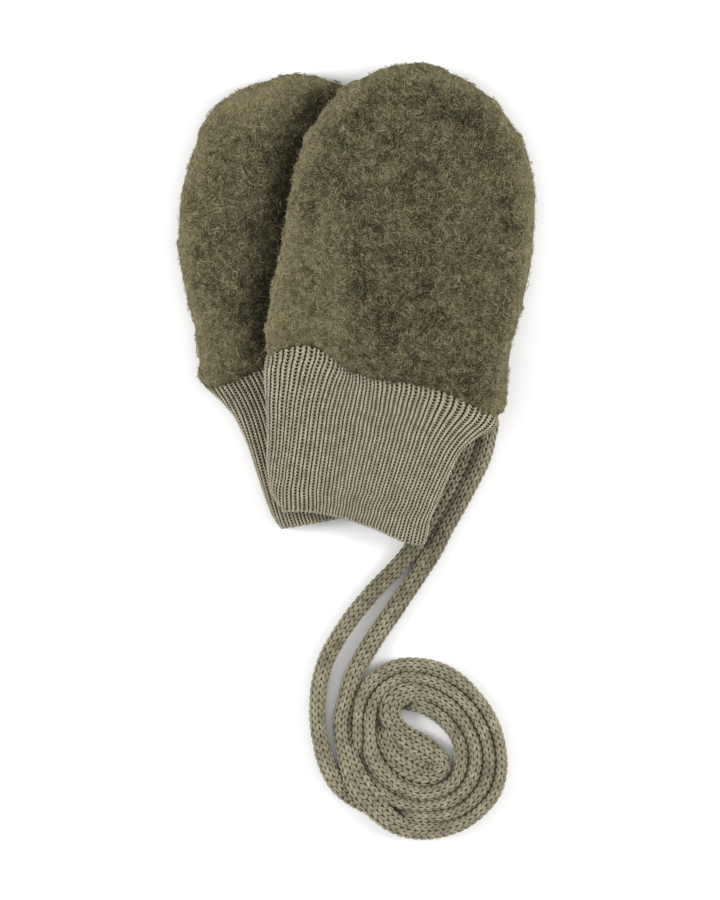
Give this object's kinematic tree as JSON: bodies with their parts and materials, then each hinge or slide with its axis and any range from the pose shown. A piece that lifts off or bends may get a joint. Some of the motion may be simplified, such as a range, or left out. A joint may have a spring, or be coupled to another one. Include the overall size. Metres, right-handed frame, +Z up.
{
  "type": "pair of baby mittens",
  "caption": "Thumbless felted wool baby mittens with long ribbed cuffs, lying flat one over the other, joined by a knitted cord wound in a flat coil",
  "frame": {"origin": "under the middle of the two mittens, the cord left out, on the surface that they lie on", "axes": "+X to the right across the hands, +Y towards the finger tips, +Z up from the surface; the cord runs off towards -Y"},
  "size_m": [0.1168, 0.255, 0.0175],
  "materials": {
    "wool": "felted wool fleece, olive brown heather, matt and hairy",
    "rib_knit": "fine ribbed knit in a light olive grey yarn, matt",
    "cord_knit": "soft tubular knitted cord in the same light olive grey yarn, matt"
  },
  "bodies": {
    "root": {"back_hand_under": "wool", "back_hand_top": "wool", "back_cuff": "rib_knit", "front_hand_under": "wool", "front_hand_top": "wool", "front_cuff": "rib_knit", "cord_lead_front": "cord_knit", "cord_lead_back": "cord_knit", "cord_coil": "cord_knit"}
  },
  "joints": []
}
